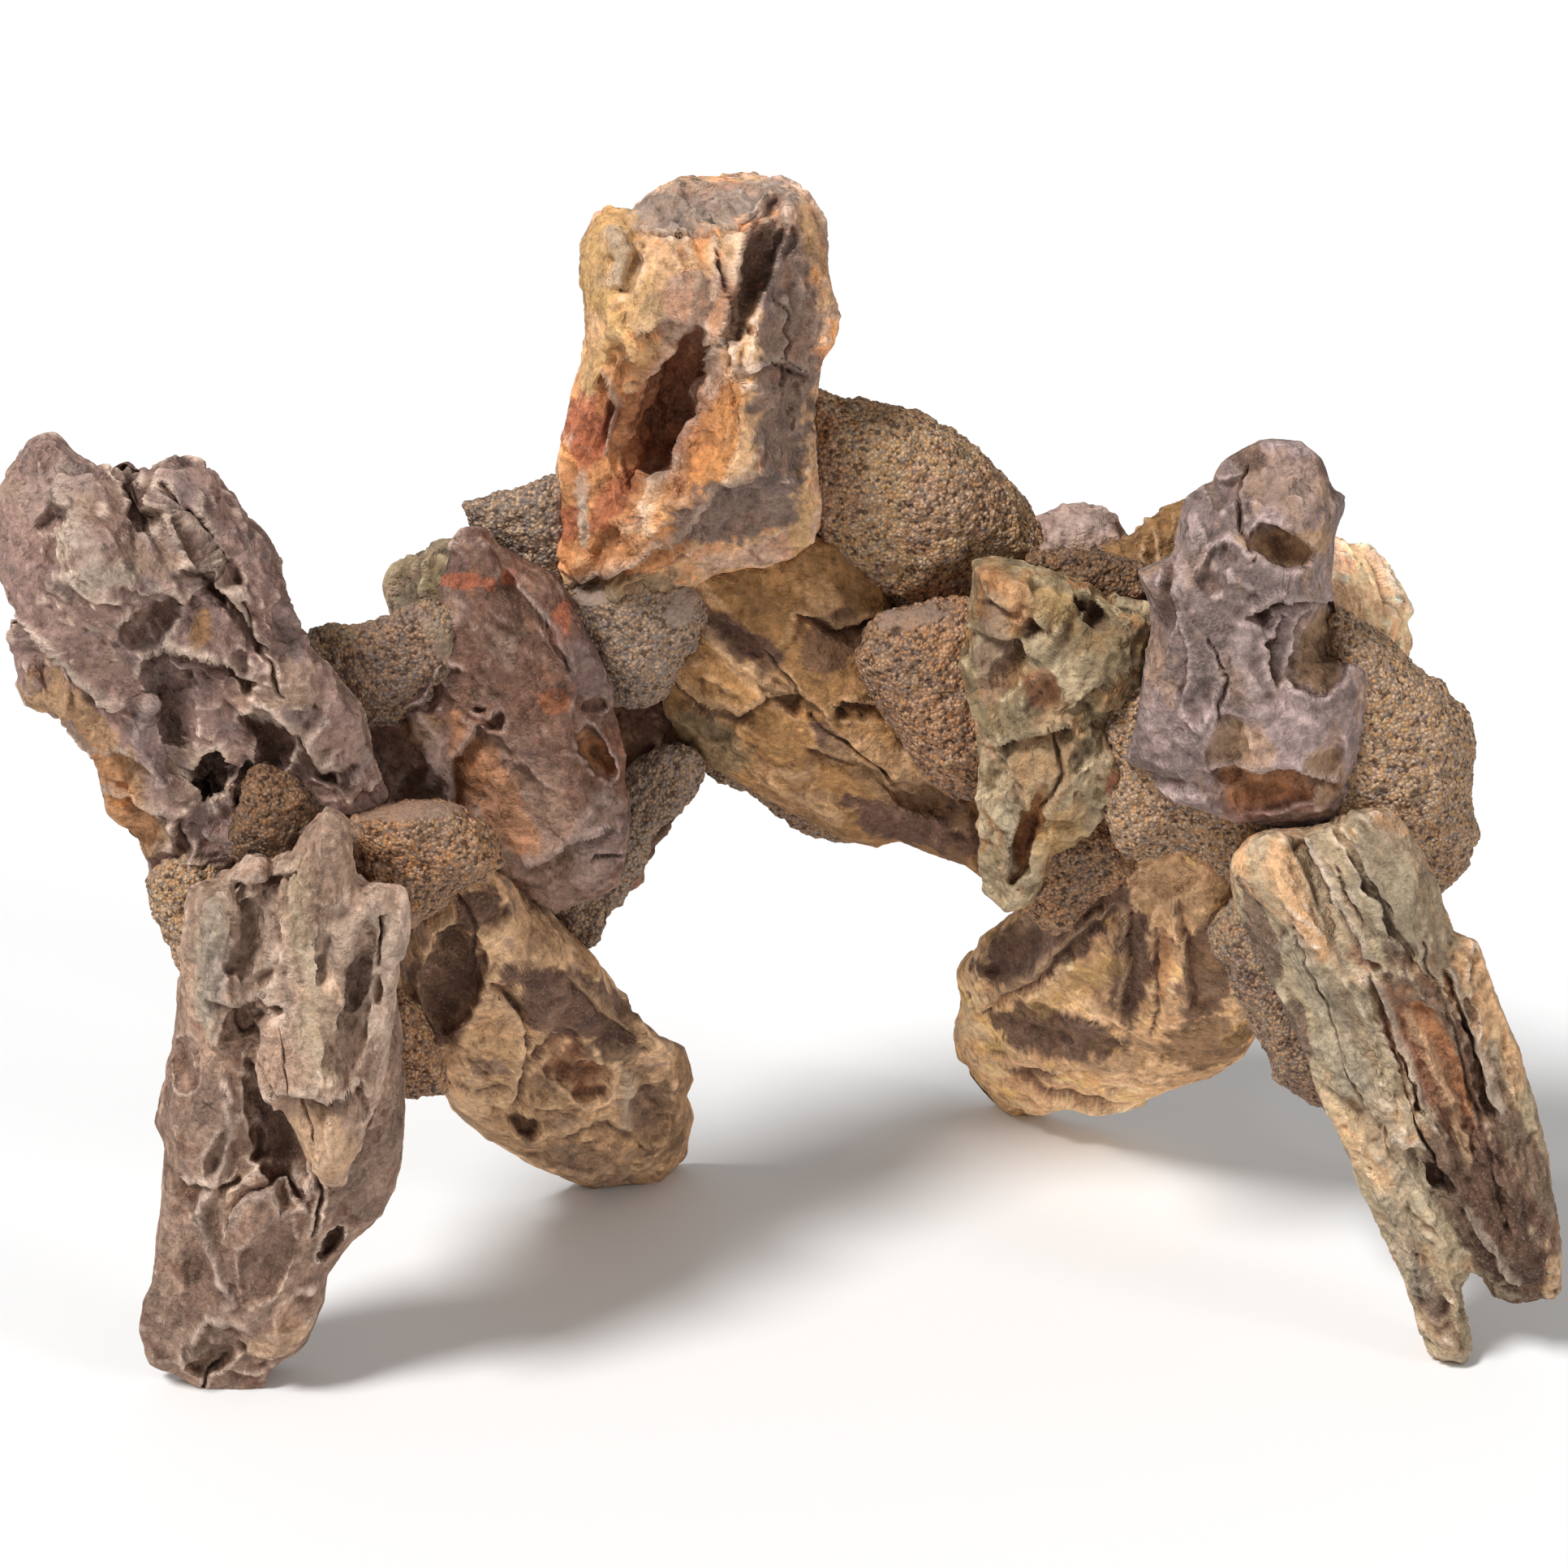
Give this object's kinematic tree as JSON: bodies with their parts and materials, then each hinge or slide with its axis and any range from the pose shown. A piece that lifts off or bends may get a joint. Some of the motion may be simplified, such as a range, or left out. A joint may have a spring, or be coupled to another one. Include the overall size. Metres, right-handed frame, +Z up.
{
  "type": "aquarium dragon stone arch",
  "caption": "Standing aquarium arch of rough, pitted dragon stones bonded with dabs of sand-coated mortar, with a tall crown block and an opening for fish.",
  "frame": {"origin": "on the floor, under the middle of the arch's box", "axes": "+X to the viewer's right along the arch, +Y away from the viewer, +Z up"},
  "size_m": [0.367, 0.1764, 0.2914],
  "materials": {
    "back_left_green_stone": "weathered clay stone, matte and rough",
    "back_ochre_stone": "weathered clay stone, matte and rough",
    "back_pink_stone": "weathered clay stone, matte and rough",
    "crown_stone": "weathered clay stone, matte and rough",
    "inner_dark_stone": "weathered clay stone, matte and rough",
    "inner_left_foot_stone": "weathered clay stone, matte and rough",
    "keystone": "weathered clay stone, matte and rough",
    "left_crest_stone": "weathered clay stone, matte and rough",
    "left_face_stone": "weathered clay stone, matte and rough",
    "left_foot_stone": "weathered clay stone, matte and rough",
    "left_middle_stone": "weathered clay stone, matte and rough",
    "mortar_inner_left": "sand-coated mortar, rough",
    "mortar_inner_left_low": "sand-coated mortar, rough",
    "mortar_keystone_left": "sand-coated mortar, rough",
    "mortar_keystone_low": "sand-coated mortar, rough",
    "mortar_keystone_right": "sand-coated mortar, rough",
    "mortar_left_back": "sand-coated mortar, rough",
    "mortar_left_centre": "sand-coated mortar, rough",
    "mortar_left_neck": "sand-coated mortar, rough",
    "mortar_left_saddle": "sand-coated mortar, rough",
    "mortar_right_inner": "sand-coated mortar, rough",
    "mortar_right_leg": "sand-coated mortar, rough",
    "mortar_right_neck": "sand-coated mortar, rough",
    "mortar_right_saddle": "sand-coated mortar, rough",
    "mortar_right_shoulder": "sand-coated mortar, rough",
    "mortar_top_left": "sand-coated mortar, rough",
    "mortar_top_right": "sand-coated mortar, rough",
    "right_back_stone": "weathered clay stone, matte and rough",
    "right_crest_stone": "weathered clay stone, matte and rough",
    "right_foot_stone": "weathered clay stone, matte and rough",
    "right_inner_foot_stone": "weathered clay stone, matte and rough",
    "right_plate_stone": "weathered clay stone, matte and rough"
  },
  "bodies": {
    "root": {"back_left_green_stone": "back_left_green_stone", "back_ochre_stone": "back_ochre_stone", "back_pink_stone": "back_pink_stone", "crown_stone": "crown_stone", "inner_dark_stone": "inner_dark_stone", "inner_left_foot_stone": "inner_left_foot_stone", "keystone": "keystone", "left_crest_stone": "left_crest_stone", "left_face_stone": "left_face_stone", "left_foot_stone": "left_foot_stone", "left_middle_stone": "left_middle_stone", "mortar_inner_left": "mortar_inner_left", "mortar_inner_left_low": "mortar_inner_left_low", "mortar_keystone_left": "mortar_keystone_left", "mortar_keystone_low": "mortar_keystone_low", "mortar_keystone_right": "mortar_keystone_right", "mortar_left_back": "mortar_left_back", "mortar_left_centre": "mortar_left_centre", "mortar_left_neck": "mortar_left_neck", "mortar_left_saddle": "mortar_left_saddle", "mortar_right_inner": "mortar_right_inner", "mortar_right_leg": "mortar_right_leg", "mortar_right_neck": "mortar_right_neck", "mortar_right_saddle": "mortar_right_saddle", "mortar_right_shoulder": "mortar_right_shoulder", "mortar_top_left": "mortar_top_left", "mortar_top_right": "mortar_top_right", "right_back_stone": "right_back_stone", "right_crest_stone": "right_crest_stone", "right_foot_stone": "right_foot_stone", "right_inner_foot_stone": "right_inner_foot_stone", "right_plate_stone": "right_plate_stone"}
  },
  "joints": []
}
